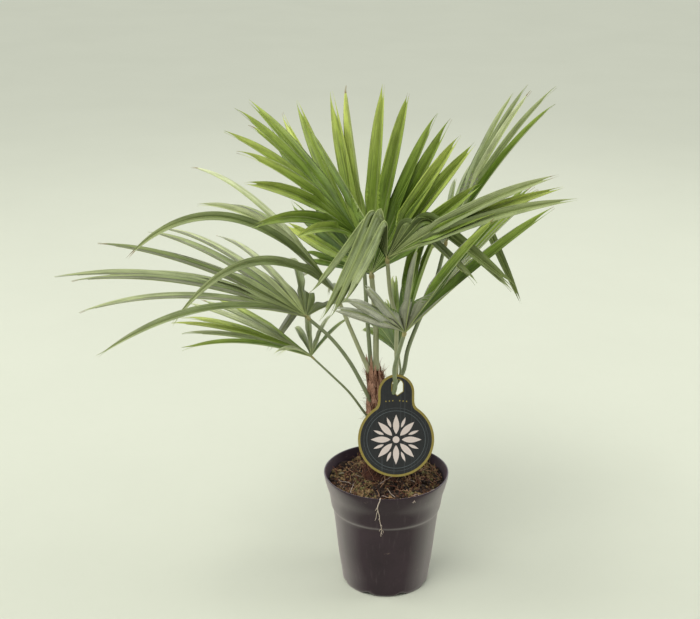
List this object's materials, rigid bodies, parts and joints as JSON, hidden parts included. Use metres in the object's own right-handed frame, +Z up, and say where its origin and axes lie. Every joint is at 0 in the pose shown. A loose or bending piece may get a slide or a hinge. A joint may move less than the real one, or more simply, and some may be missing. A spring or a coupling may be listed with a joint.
{
  "type": "potted windmill palm",
  "caption": "Young windmill palm with fan-shaped fronds on slim stalks, a short fibrous trunk, a round hanging care tag and a tapered nursery pot of soil.",
  "frame": {"origin": "centre of the pot's flat underside, on the surface that it stands on", "axes": "+Z up; -Y is the front, where the care tag hangs; -X is the side that the longer fronds lean to"},
  "size_m": [0.5192, 0.6527, 0.6104],
  "materials": {
    "pot": "satin moulded plastic, dusty",
    "soil": "peat and bark fragments",
    "trunk": "brown fibrous leaf sheaths",
    "tag": "printed card with an olive-gold edge",
    "stalk": "smooth pale green leaf stalk",
    "frond": "pleated green leaf blade, silvery where it turns to the light"
  },
  "bodies": {
    "root": {"pot": "pot", "soil": "soil", "trunk": "trunk", "tag": "tag", "stalk_centre_front": "stalk", "stalk_right_front": "stalk", "stalk_left_upper": "stalk", "stalk_left_lower": "stalk", "stalk_back_tall": "stalk", "stalk_right_back": "stalk", "stalk_back_left": "stalk", "stalk_left_mid": "stalk", "stalk_right_lower": "stalk", "frond_centre_front": "frond", "frond_right_front": "frond", "frond_left_upper": "frond", "frond_left_lower": "frond", "frond_back_tall": "frond", "frond_right_back": "frond", "frond_back_left": "frond", "frond_left_mid": "frond", "frond_right_lower": "frond"}
  },
  "joints": []
}
